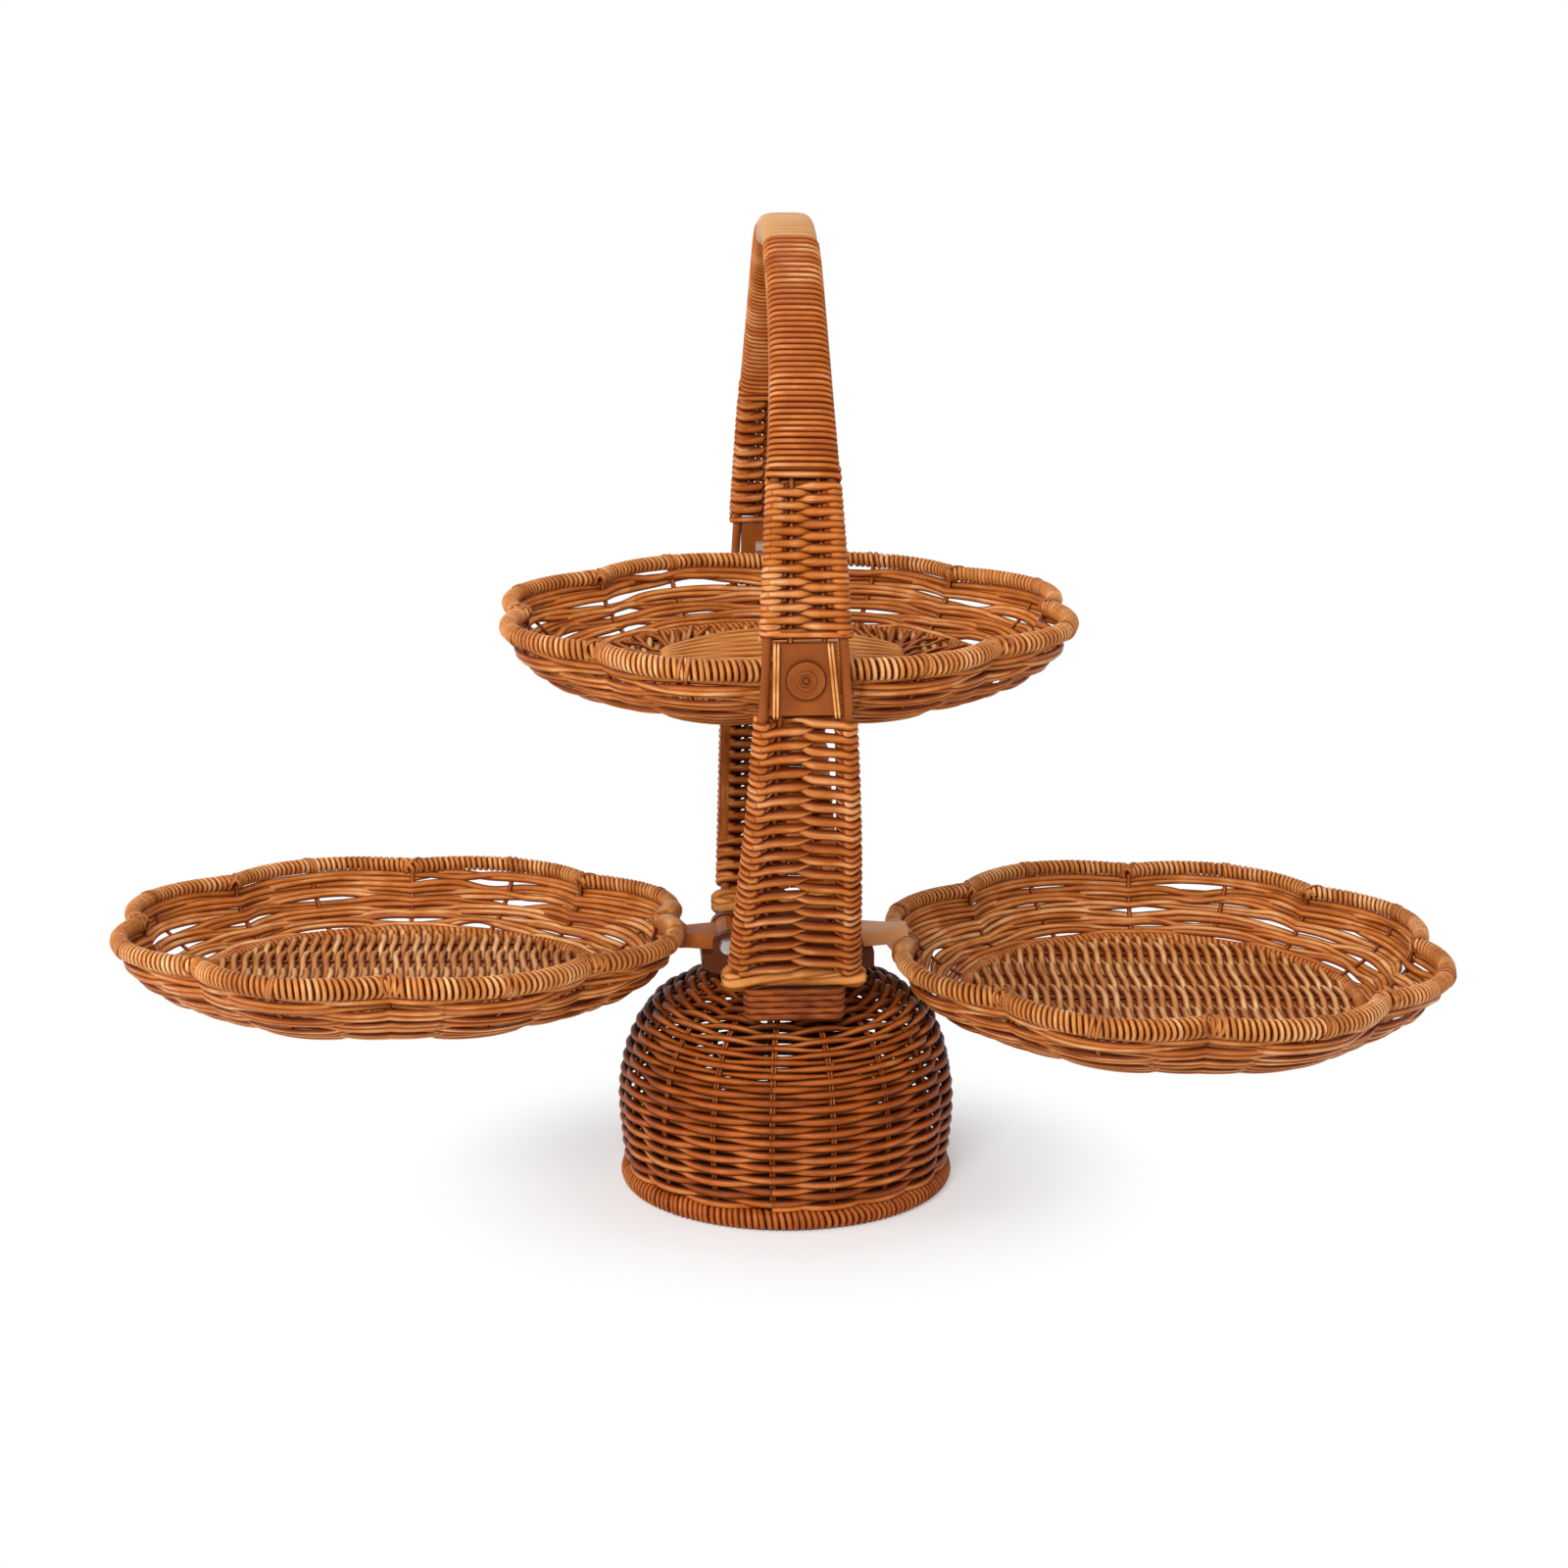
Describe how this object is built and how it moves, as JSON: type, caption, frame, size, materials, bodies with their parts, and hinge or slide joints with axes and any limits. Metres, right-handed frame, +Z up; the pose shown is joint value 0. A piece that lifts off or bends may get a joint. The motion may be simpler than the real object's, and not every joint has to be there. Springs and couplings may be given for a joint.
{
  "type": "fruit basket stand",
  "caption": "Woven dome pedestal with a tall wound arch handle, two folding scalloped baskets at its sides and one hung between the handle's legs.",
  "frame": {"origin": "middle of the foot ring's underside, on the surface the stand rests on", "axes": "+X from the left basket to the right basket, +Y from the front leg to the rear leg of the handle, +Z up"},
  "size_m": [0.7284, 0.3504, 0.5337],
  "materials": {
    "cane": "satin orange-brown poly-rattan strand",
    "woven_cane": "woven orange-brown poly-rattan strand",
    "dark_cane": "woven dark reddish brown poly-rattan strand",
    "floor_cane": "woven light tan poly-rattan strand",
    "brown_plastic": "satin moulded brown plastic",
    "steel": "plain zinc-plated steel"
  },
  "bodies": {
    "pedestal_and_handle": {"dome_weave": "dark_cane", "foot_ring": "dark_cane", "clamp_washer": "steel", "clamp_bolt": "steel", "hub": "brown_plastic", "front_foot_wrap": "cane", "rear_foot_wrap": "cane", "front_lower_leg": "woven_cane", "rear_lower_leg": "woven_cane", "front_upper_leg": "woven_cane", "rear_upper_leg": "woven_cane", "front_pivot_plate": "brown_plastic", "rear_pivot_plate": "brown_plastic", "front_left_post": "brown_plastic", "front_right_post": "brown_plastic", "rear_left_post": "brown_plastic", "rear_right_post": "brown_plastic", "front_left_stick": "cane", "front_right_stick": "cane", "rear_left_stick": "cane", "rear_right_stick": "cane", "grip_core": "brown_plastic", "grip_winding": "cane", "left_hinge_pin": "steel", "right_hinge_pin": "steel"},
    "left_basket": {"left_arm": "brown_plastic", "left_rim": "cane", "left_wall": "woven_cane", "left_floor_ring": "cane", "left_floor": "floor_cane"},
    "right_basket": {"right_arm": "brown_plastic", "right_rim": "cane", "right_wall": "woven_cane", "right_floor_ring": "cane", "right_floor": "floor_cane"},
    "top_basket": {"top_rim": "cane", "top_wall": "woven_cane", "top_floor_ring": "cane", "top_floor": "floor_cane", "front_pivot_lug": "brown_plastic", "rear_pivot_lug": "brown_plastic", "front_pivot_cap": "brown_plastic", "rear_pivot_cap": "brown_plastic"}
  },
  "joints": [
    {"name": "left_fold", "type": "hinge", "parent": "pedestal_and_handle", "child": "left_basket", "pos_m": [-0.033, 0, 0.14], "axis": [0, 1, 0], "range_deg": [0, 45]},
    {"name": "right_fold", "type": "hinge", "parent": "pedestal_and_handle", "child": "right_basket", "pos_m": [0.033, 0, 0.14], "axis": [0, -1, 0], "range_deg": [0, 45]},
    {"name": "top_swing", "type": "hinge", "parent": "pedestal_and_handle", "child": "top_basket", "pos_m": [0, 0, 0.3215], "axis": [0, 1, 0], "range_deg": [-90, 90]}
  ]
}
